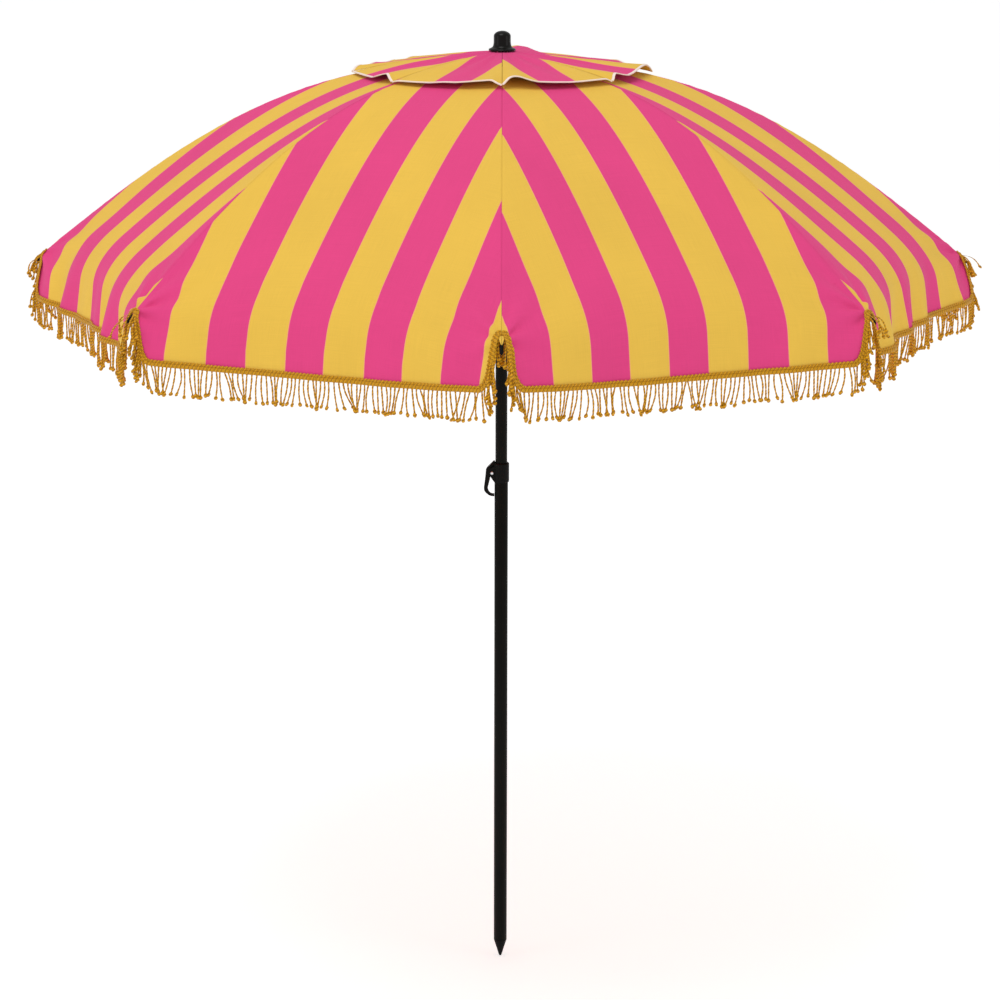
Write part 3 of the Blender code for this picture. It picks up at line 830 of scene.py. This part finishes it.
def sheet_piece(name, number, lines, rows, sharp):
    """One cloth piece. Each row is how far along a line it lies, and how far inward."""
    def point_and_map(row, line):
        along_line, inward = row
        along = along_line(line)
        point = cloth_point(line, all_folds[number], along, inward)
        return point, (stripe_place(number, point.y, along), along + 2.0)
    return cloth_piece(name, rows, lines, point_and_map, sharp, to_panel(number))


def between(share):
    """A row of the gore's main part, from the opening at 0 to the start of the bend at 1."""
    return lambda line: line.start + (-line.lead - line.start) * share


def in_bend(share):
    """A row of the bend, down to where the valance takes over."""
    return lambda line: -line.lead + (line.split + line.lead) * share


def in_valance(share):
    return lambda line: line.split + (line.end - line.split) * share


def behind_joint(back):
    return lambda line: line.split - back * line.fold


def flat_area(piece):
    return sum(p.area for p in piece.data.polygons) / 2


# %% Eight gores and sixteen valance halves
gore_rows = [(between(s), 0.0) for s in np.linspace(0, 1, 52)]
gore_rows += [(in_bend(s), 0.0) for s in np.linspace(0, 1, 19)[1:]]
valance_rows = [(behind_joint(0.024), BEHIND_GORE), (behind_joint(0.0008), BEHIND_GORE)]
valance_rows += [(in_valance(s), 0.0) for s in np.linspace(0, 1, 20)]
all_folds = {n: Folds(n) for n in range(1, SPOKES + 1)}
gores, valances = {}, {}
for number in all_folds:
    left, right = left_lines[number], right_lines[number]
    gores[number] = sheet_piece(f"gore_{number}", number, left + right[1:], gore_rows, 60)
    for side, word, lines in ((-1, "left", left), (1, "right", right)):
        name = f"valance_cloth_{number}_{word}"
        valances[number, side] = sheet_piece(name, number, lines, valance_rows, 40)
print("gore area", round(flat_area(gores[1]), 3), "m2, half valance", round(flat_area(valances[1, 1]), 4))

# %% [markdown]
# A cloth piece that hangs from two ribs gathers between them as the umbrella closes. Each gore flattens
# sideways towards its own middle. A valance has a left and a right half that each gather along their own
# slant, because the rim is bowed and its ends lie further out. The code below only works out these
# directions and gives each piece a mesh of its own; nothing gathers.

# %% Gathering directions, worked out but not used
def panel_direction(number, x, y):
    return to_panel(number).to_3x3() @ Vector((x, y, 0))


def gather(piece, number, side):
    """Works out a gathering axis, straight across for side 0 and along that half's slant for -1 or 1, and
    an anchor; neither is used, and the piece only gets a mesh of its own.
    """
    if side:
        axis = panel_direction(number, 0.060, 0.41 * side)
    else:
        axis = panel_direction(number, 0, 1)
    anchor = panel_direction(number, 0.935, 0) + Vector((0, 0, 1.74))
    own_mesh(piece)


for number, gore in gores.items():
    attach(gore, f"panel_{number}")
    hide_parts(f"canopy_panel_{number}")
    gather(gore, number, 0)
for (number, side), half in valances.items():
    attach(half, f"valance_{number}")
    gather(half, number, side)
    if side < 0:
        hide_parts(f"valance_{number}")

# %% [markdown]
# ## Seam facings
#
# A sewn seam has a strip of the same cloth under it. Here a facing lies under each rib's seam. It moves
# with the rib, so it also covers the gap that opens beside the rib when the gores gather.

# %% Facings under the seams
FACING_HALF, FACING_BELOW, FACING_END = 0.042, 0.0026, 1.064
facing_places = np.linspace(-1, 1, 15)
facing_rows_along = np.linspace(OPENING + 0.002, FACING_END, 56)


def facing_point(rib, along, sideways):
    """A point under the cloth beside a rib; the side says which gore it copies."""
    number = rib if sideways >= 0 else (rib - 2) % SPOKES + 1
    radius, height = over_rib(along)
    width = radius * math.sin(HALF)
    beside = abs(sideways) * min(1.0, radius / 0.35)
    local = Vector((radius * math.cos(HALF) - FACING_BELOW * math.sin(slope(along)),
                    (width - beside) * (-1 if sideways >= 0 else 1),
                    height - FACING_BELOW * math.cos(slope(along))))
    share = (along - OPENING) / (RIM_LENGTH - 0.01 - OPENING)
    local.z -= SAG * (1 - (local.y / width) ** 2) * math.sin(math.pi * share) ** 1.4
    return to_panel(number) @ local, (local.y - STRIPE_START[number - 1], along)


facings = []
for rib in range(1, SPOKES + 1):
    facing = cloth_piece(f"seam_facing_{rib}", facing_rows_along, facing_places,
                         lambda along, share: facing_point(rib, along, share * FACING_HALF), 30)
    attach(facing, f"rib_{rib}")
    facings.append(facing)
print("facing", round(flat_area(facings[0]), 4), "m2")

# %% [markdown]
# ## The vent cap
#
# A small second canopy covers the hole at the top, so wind can pass out under it. Nothing stretches its
# hem, so it waves: it dips where it is sewn down over a rib and lifts between. The lifts below are heights
# in millimetres of the hem over each gore, from one rib to the next.

# %% Vent cloth
VENT_START, VENT_RADIUS = 0.0165, 0.343
VENT_TOP, VENT_HEM, VENT_SWELL = 2.2255, 2.1866, 1.3
VENT_STRIPES = [-0.043, -0.050, -0.044, -0.040, -0.047, -0.036, -0.044, -0.031]
HEM_LIFTS = {
    1: [(-1, -4.5), (-.96, 0), (-.88, 11), (-.79, 14), (-.67, 12.5), (-.54, 6), (-.36, 0), (-.07, -2.5),
        (.22, -3.8), (.47, -2.8), (.65, -1.4), (.83, 0), (.91, .7), (.96, -4), (1, -6)],
    2: [(-1, -6), (-.95, 0), (-.86, 10.5), (-.71, 9), (-.46, 3), (-.22, -1), (.03, 1.6), (.28, 6.6),
        (.54, 11.5), (.75, 12), (.91, 3), (1, -8)],
    3: [(-1, -8), (-.93, 1), (-.8, 8), (-.5, 2), (0, -3), (.4, 4), (.7, 1), (1, -5)],
    4: [(-1, -5), (-.6, 2), (-.2, -2), (.3, 3), (.7, 0), (1, -4)],
    5: [(-1, -4), (-.7, 3), (-.3, 5), (.1, -2), (.5, 2), (.8, 4), (1, -8)],
    6: [(-1, -8), (-.7, 0), (-.3, -4), (.1, 3), (.45, -2), (.75, 4), (.9, 0), (1, -8)],
    7: [(-1, -8), (-.9, -8.5), (-.35, -9.5), (.05, -9), (.3, -2.5), (.55, 4), (.75, 8), (.86, 1), (1, -8)],
    8: [(-1, -8), (-.91, -5), (-.58, -6), (-.31, -6), (-.04, -3), (.16, -3), (.41, .4), (.68, 4),
        (.82, 6), (.91, -1), (1, -4.5)],
}
BULGES = {4: [(-1, 0), (-.4, 2), (0, 4), (.23, 11), (.37, 19), (.57, 22), (.75, 17), (.9, 6), (1, 0)]}
VENT_ROWS = 26


def smoothed(pairs, across):
    """A height in metres between the pairs, averaged over a short run of hem."""
    places, lifts = zip(*pairs)
    near = np.clip(np.linspace(across - 0.05, across + 0.05, 7), -1, 1)
    return float(np.mean(np.interp(near, places, lifts))) * 0.001


def vent_point(number, across, down):
    """A point of the vent cap in the gore's own frame."""
    radius = VENT_START + (VENT_RADIUS - VENT_START) * down
    height = VENT_TOP + (VENT_HEM - VENT_TOP) * down ** VENT_SWELL
    lift = smoothed(HEM_LIFTS[number], across) * down ** 4
    if number in BULGES:
        lift += smoothed(BULGES[number], across) * math.sin(math.pi * down ** 2.2)
    slack = -0.0045 * (1 - across ** 2) * math.sin(math.pi * down ** 0.8) ** 1.2
    fold = 0.0026 * math.sin(across * 8 + number * 1.7) * math.sin(math.pi * down)
    fold *= 1 - across ** 2
    width = radius * math.sin(HALF) - SEAM_GAP
    groove = -0.0008 * math.exp(-((1 - abs(across)) * width / 0.003) ** 2)
    return Vector((radius * math.cos(HALF) - 0.25 * max(0, lift),
                   across * width, height + lift + slack + fold + groove))


vent_places = [1.15 * u - 0.15 * u ** 3 for u in np.linspace(-1, 1, 65)]
vent_rows = [(r / VENT_ROWS) ** 0.8 for r in range(VENT_ROWS + 1)]
vents = []
for number in range(1, SPOKES + 1):
    def vent_point_and_map(down, across):
        point = vent_point(number, across, down)
        return point, (point.y - VENT_STRIPES[number - 1], down * VENT_RADIUS)
    vents.append(cloth_piece(f"vent_cloth_{number}", vent_rows, vent_places, vent_point_and_map, 60,
                             to_panel(number)))
print("vent gore", round(flat_area(vents[0]), 4), "m2")

# %% [markdown]
# ## Trim that follows an edge
#
# Binding, braid and fringe all follow the edge of a cloth piece. A trim is a ring of points carried along a
# path. At each station the ring stands square to the path, with one axis along the cloth and one out of it.

# %% Carrying a ring along an edge
def lengths(path):
    """The distance along the path to each of its points."""
    return np.concatenate([[0], np.cumsum(np.linalg.norm(np.diff(path, axis=0), axis=1))])


def swept(name, path, outward, ring, widths, material):
    """A closed ring carried along a path. widths scales its inner side at each station."""
    path, outward = np.asarray(path, float), np.asarray(outward, float)
    count, sides = len(path), len(ring)
    run = np.gradient(path, axis=0)
    run /= np.linalg.norm(run, axis=1)[:, None]
    outward = outward - (outward * run).sum(1)[:, None] * run
    outward /= np.linalg.norm(outward, axis=1)[:, None]
    along_cloth = np.cross(outward, run)
    length = lengths(path)
    points = np.zeros((count, sides + 1, 3))
    maps = np.zeros((count, sides + 1, 2))
    for s in range(sides + 1):
        a, b = ring[s % sides]
        reach = a * widths if a > 0 else np.full(count, a)
        points[:, s] = path + along_cloth * reach[:, None] + outward * b
        maps[:, s] = np.stack([np.full(count, s / sides), length], 1)
    piece = grid_piece(name, points, maps, "trim")
    only(piece)
    bpy.ops.object.mode_set(mode="EDIT")
    bpy.ops.mesh.select_all(action="SELECT")
    bpy.ops.mesh.remove_doubles(threshold=0.00001)
    bpy.ops.mesh.select_all(action="DESELECT")
    bpy.ops.mesh.select_non_manifold()
    bpy.ops.mesh.edge_face_add()
    faces_out()
    smooth(piece, 60)
    return wear(piece, material)


# %% Cream binding round the vent
BINDING_RING = [(-0.0028, -0.0014), (0.0024, -0.0014), (0.0030, -0.0002), (0.0024, 0.0009),
                (-0.0028, 0.0009), (-0.0031, -0.0002)]
for number, vent in enumerate(vents, 1):
    places = [1.1 * u - 0.1 * u ** 3 for u in np.linspace(-0.998, 0.998, 110)]
    path = [vent_point(number, a, 0.992) for a in places]
    up = [(0.12, 0, 1.0)] * len(places)
    tape = swept(f"vent_binding_{number}", path, up, BINDING_RING, np.ones(len(places)),
                 tape_finish)
    tape.data.transform(to_panel(number))
    for piece in (vent, tape):
        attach(piece, f"panel_{number}")
        axis = panel_direction(number, 0, 1)
        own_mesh(piece)
    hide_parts(f"vent_panel_{number}")
print("bindings", len(vents), "of", faces_of(tape), "faces")

# %% [markdown]
# ## Braid and fringe
#
# The braid is sewn over the valance's raw edge, so it also runs up both sides of the notch at each rib. Its
# looped edge is a row of small scallops. The fringe hangs from it: cords about 60 mm long with a knotted
# end. They are never even on a real one. Some lean together in clumps, some cross, and where the edge
# climbs to the rib they pile up, so each cord takes its lean and length from seeded chance.

# %% The valance's edge
edge_steps = list(np.linspace(0, 0.05, 51)) + list(np.linspace(0.054, RIM_HALF, 90))


def edge_of(number, side):
    """The lower edge of one half, from left to right, and the outward direction along it."""
    folds = all_folds[number]
    places = [side * (1 - step / RIM_HALF) for step in edge_steps]
    if side > 0:
        places = places[::-1]
    path, outs = [], []
    for across in places:
        line = GoreLine(across, number)
        path.append(tuple(cloth_point(line, folds, line.end)))
        normal = line.at(line.end)[2]
        outs.append((normal.x, 0, normal.y))
    return np.array(path), np.array(outs)


def even(path, outs, gap):
    """The same edge with points at even distances."""
    length = lengths(path)
    at = np.linspace(0, length[-1], int(length[-1] / gap) + 1)
    return (np.stack([np.interp(at, length, path[:, k]) for k in range(3)], 1),
            np.stack([np.interp(at, length, outs[:, k]) for k in range(3)], 1))


# %% Braid along an edge
BRAID_RING = [(-0.0056, -0.0010), (-0.0024, -0.0014), (0.0030, -0.0014), (0.0058, -0.0010),
              (0.0066, 0.0004), (0.0056, 0.0020), (0.0034, 0.0020), (0.0020, 0.0006),
              (0.0004, 0.0020), (-0.0030, 0.0026), (-0.0056, 0.0018), (-0.0062, 0.0002)]


def braid_along(name, path, outward):
    run = np.gradient(path, axis=0)
    run /= np.linalg.norm(run, axis=1)[:, None]
    into = np.cross(outward, run)
    length = lengths(path)
    loops = 1 + 0.28 * np.abs(np.sin(length * math.pi / BRAID_LOOP)) - 0.12
    return swept(name, path + into * 0.0040 + outward * 0.0016, outward, BRAID_RING, loops,
                 braid_finish)


# %% One cord
CORD_STEPS = 8
KNOT = [(0.0010, 1.5), (0.0032, 2.25), (0.0062, 2.2), (0.0088, 1.2)]


def cord_mesh(centres, radius, twist, verts, faces, maps):
    """A four-sided twisted cord along its centres, with a knotted end, added to the lists."""
    base = len(verts)
    tip, drop = centres[-1], (centres[-1] - centres[-2]).normalized()
    rings = [(centre, radius) for centre in centres]
    rings += [(tip + drop * down, radius * wide) for down, wide in KNOT]
    fall = 0.0
    falls = []
    for k, (centre, size) in enumerate(rings):
        if k:
            fall += (centre - rings[k - 1][0]).length
        falls.append(fall)
        for s in range(4):
            angle = math.tau * s / 4 + twist + fall * 95
            verts.append(centre + Vector((math.cos(angle), math.sin(angle), 0)) * size)
    for k in range(len(rings) - 1):
        for s in range(4):
            n = (s + 1) % 4
            a, b = base + 4 * k + s, base + 4 * k + n
            faces.append((a, b, b + 4, a + 4))
            low, high = falls[k], falls[k + 1]
            maps.append([(s / 4, low), ((s + 1) / 4, low), ((s + 1) / 4, high), (s / 4, high)])
    faces.append((base + 3, base + 2, base + 1, base))
    maps.append([(0, 0)] * 4)
    end = base + 4 * (len(rings) - 1)
    faces.append((end, end + 1, end + 2, end + 3))
    maps.append([(0, fall)] * 4)


# %% How one cord falls
CORD_GAP, CORD_REACH = 0.0098, 0.052
IN_NOTCH, BY_NOTCH, CROWDED = 0.0095, 0.024, 0.03


def cord_centres(chance, here, out, level, lean, side):
    """The middle line of one cord, from its root on the edge to its knot."""
    beside = RIM_HALF - abs(here.y)
    reach = CORD_REACH * chance.uniform(0.90, 1.08)
    swing = out * chance.uniform(-0.003, 0.006)
    rise = 0.0
    if beside < IN_NOTCH:
        reach *= chance.uniform(0.62, 0.95)
        swing = Vector((chance.uniform(0.018, 0.042), 0, 0))
        rise = chance.uniform(0.003, 0.008)
        lean = chance.gauss(0, 0.007)
        level = Vector((0, 1, 0))
    elif beside < BY_NOTCH:
        swing = out * chance.uniform(0.002, 0.018)
        level = Vector((0, 1, 0))
        lean = side * chance.uniform(-0.006, 0.010)
    root = here + out * chance.uniform(0.0004, 0.0024)
    bow = level * chance.gauss(0, 0.0020) + out * (chance.gauss(0.0008, 0.0012) + rise)
    drop = math.sqrt(max(1e-4, reach ** 2 - min(reach, swing.length) ** 2 * 0.6))
    centres = []
    for k in range(CORD_STEPS + 1):
        t = k / CORD_STEPS
        sideways = level * lean * t ** 1.4 + swing * t
        centres.append(root + sideways + bow * math.sin(math.pi * t) - Vector((0, 0, drop * t)))
    return centres


# %% A fringe
def point_at(path, length, at):
    """The point of a path at a length along it."""
    return Vector([np.interp(at, length, path[:, i]) for i in range(3)])


def fringe(name, path, outs, number, side):
    """All the cords under one half of a valance's edge."""
    chance = random.Random(1000 + 10 * number + side)
    length = lengths(path)
    sway = [(chance.uniform(0.005, 0.008), chance.uniform(0.07, 0.11), chance.uniform(0, math.tau)),
            (chance.uniform(0.005, 0.008), chance.uniform(0.16, 0.26), chance.uniform(0, math.tau))]
    verts, faces, maps = [], [], []
    at, made = 0.002, 0
    while at < length[-1] - 0.001:
        here, ahead = point_at(path, length, at), point_at(path, length, at + 0.002)
        level = Vector((0, 1, 0)) if abs(ahead.y - here.y) < 1e-5 else Vector(
            (ahead.x - here.x, ahead.y - here.y, 0)).normalized()
        lean = sum(size * math.sin(math.tau * at / wave + phase) for size, wave, phase in sway)
        lean += chance.gauss(0, 0.0025) if chance.random() > 0.1 else chance.gauss(0, 0.009)
        centres = cord_centres(chance, here, point_at(outs, length, at), level, lean, side)
        cord_mesh(centres, chance.uniform(0.00180, 0.00205), chance.uniform(0, 6), verts, faces, maps)
        made += 1
        beside = RIM_HALF - abs(here.y)
        crowd = 0.36 if beside < IN_NOTCH else 0.6 if beside < CROWDED else 1.0
        at += CORD_GAP * chance.uniform(0.86, 1.14) * crowd
    mesh = bpy.data.meshes.new(name)
    mesh.from_pydata([tuple(v) for v in verts], [], faces)
    uv = mesh.uv_layers.new(name="trim")
    uv.data.foreach_set("uv", np.array(maps, np.float32).ravel())
    piece = bpy.data.objects.new(name, mesh)
    bpy.context.scene.collection.objects.link(piece)
    smooth(piece, 70)
    return wear(piece, cord_finish), made


# %% Trim on every valance
cords = 0
for (number, side), half in valances.items():
    word = "left" if side < 0 else "right"
    path, outward = even(*edge_of(number, side), 0.00137)
    braid = braid_along(f"braid_{number}_{word}", path, outward)
    fringe_piece, made = fringe(f"fringe_{number}_{word}", path, outward, number, side)
    cords += made
    for piece in (braid, fringe_piece):
        piece.data.transform(to_panel(number))
        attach(piece, f"valance_{number}")
        gather(piece, number, side)
print("cords", cords)

# %% How many gores, facings and valance halves there are
for number, facing in enumerate(facings, 1):
    gore = gores[number]
    f"rib_{number % SPOKES + 1}"
print("sheets", len(gores), "gores,", len(facings), "facings,", len(valances), "valance halves")

# %% [markdown]
# ## Floor, light and camera
#
# The umbrella stands on a pale floor in soft, even light, as in a studio: a wide lamp above and in front,
# two weaker ones at the sides, and a pale surround. The camera stands about 6 m away with a long lens and
# looks slightly down, so the canopy's top and the front valances both show.

# %% Floor
clear_selection()
bpy.ops.mesh.primitive_plane_add(size=90, location=(0, 20, 0))
floor = bpy.context.object
floor.name = "floor"
place_in_mesh(floor)
pale = Finish("pale_floor", {"Base Color": (0.9, 0.9, 0.9, 1), "Roughness": 0.95,
                             "Specular IOR Level": 0.1, "Emission Color": (1, 1, 1, 1),
                             "Emission Strength": 0.48})
back = pale.node("ShaderNodeNewGeometry", {}, {}).named("Backfacing")
clear = pale.node("ShaderNodeBsdfTransparent", {}, {})
upper = Value(pale.tree, pale.shader.outputs["BSDF"])
both = pale.node("ShaderNodeMixShader", {}, {0: back, 1: upper, 2: clear})
pale.tree.links.new(both.output, pale.tree.nodes["Material Output"].inputs["Surface"])
floor.data.materials.append(pale.material)

# %% Light
world = bpy.data.worlds.new("studio")
world.use_nodes = True
world.node_tree.nodes["Background"].inputs["Color"].default_value = (1.0, 1.0, 1.0, 1)
world.node_tree.nodes["Background"].inputs["Strength"].default_value = 0.585
bpy.context.scene.world = world


def soft_light(name, place, target, size, power):
    data = bpy.data.lights.new(name, "AREA")
    data.shape = "DISK"
    data.size = size
    data.energy = power
    lamp = bpy.data.objects.new(name, data)
    bpy.context.scene.collection.objects.link(lamp)
    lamp.location = place
    lamp.rotation_euler = (Vector(target) - Vector(place)).to_track_quat("-Z", "Y").to_euler()
    return lamp


soft_light("key", (-1.0, -2.4, 7.6), (0, 0, 1.9), 4.0, 170)
soft_light("fill_left", (-5.5, -2.5, 3.0), (0, 0, 1.5), 3.0, 25)
soft_light("fill_right", (5.5, -2.5, 3.0), (0, 0, 1.5), 3.0, 25)

# %% Camera
camera_data = bpy.data.cameras.new("camera")
camera_data.lens = 94.25
camera_data.sensor_width = 36
camera_data.clip_end = 200
camera_data.shift_x = -0.0012
camera = bpy.data.objects.new("camera", camera_data)
bpy.context.scene.collection.objects.link(camera)
camera.matrix_world = (Matrix.Translation((0, -6.013, 2.748))
                       @ Matrix.Rotation(math.radians(90 - 14.7), 4, "X")
                       @ Matrix.Rotation(math.radians(0.13), 4, "Z"))
bpy.context.scene.camera = camera
bpy.context.scene.view_settings.view_transform = "Standard"
print("camera at", tuple(round(c, 3) for c in camera.matrix_world.translation), "lens", camera_data.lens)
